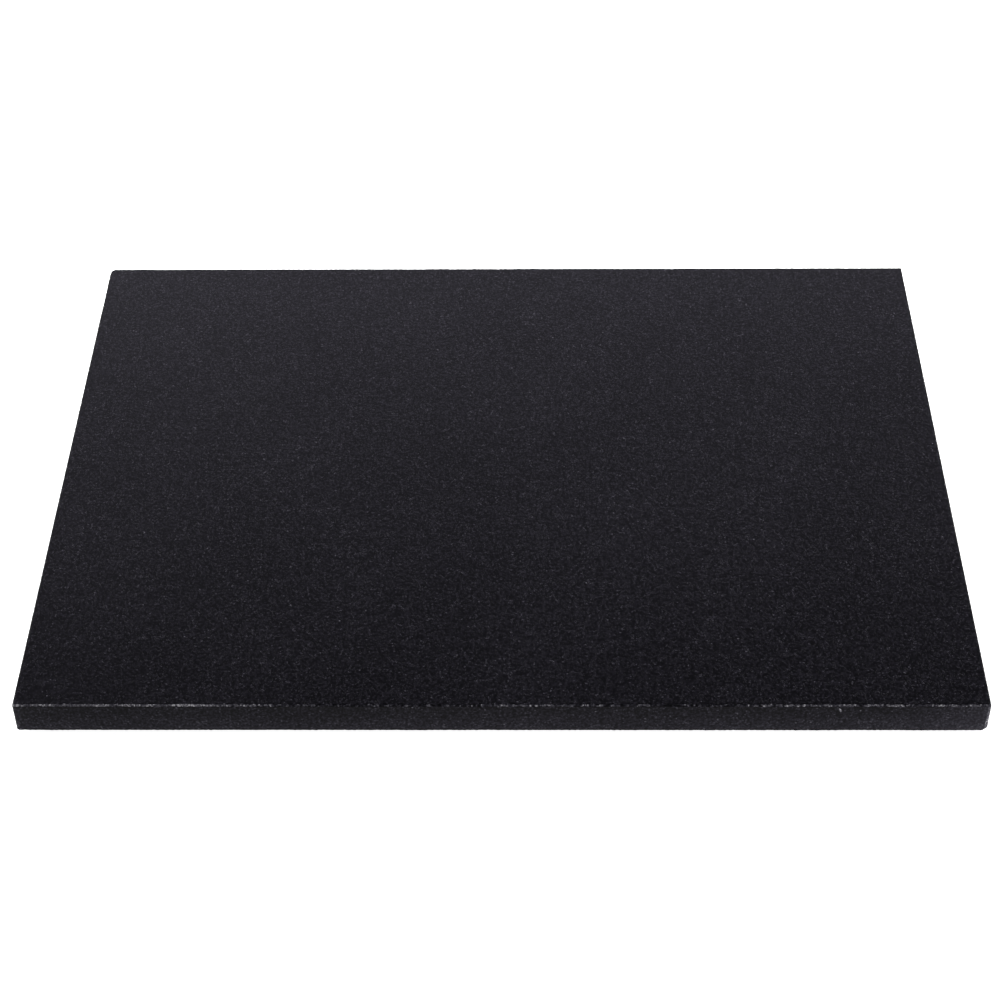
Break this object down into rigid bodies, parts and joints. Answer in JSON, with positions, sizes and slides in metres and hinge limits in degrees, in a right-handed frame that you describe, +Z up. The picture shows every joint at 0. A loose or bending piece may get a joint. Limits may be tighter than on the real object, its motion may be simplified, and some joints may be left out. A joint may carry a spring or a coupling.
{
  "type": "granite slab",
  "caption": "Flat rectangular block of polished black granite with eased edges, standing on small rubber bumper feet; a heavy, hard base for stamping and tooling leather.",
  "frame": {"origin": "on the surface that the feet stand on, under the slab's centre", "axes": "+X along the slab's long side, to the right seen from its front edge; +Y towards its back edge; +Z up out of the polished work surface"},
  "size_m": [0.4064, 0.3048, 0.0203],
  "materials": {
    "granite": "satin",
    "foot_rubber": "matte",
    "foam_tape": "matte"
  },
  "bodies": {
    "root": {"granite_slab": "granite", "foot_front_left": "foot_rubber", "foot_front_right": "foot_rubber", "foot_back_left": "foot_rubber", "foot_back_right": "foot_rubber", "adhesive_disc_front_left": "foam_tape", "adhesive_disc_front_right": "foam_tape", "adhesive_disc_back_left": "foam_tape", "adhesive_disc_back_right": "foam_tape"}
  },
  "joints": []
}
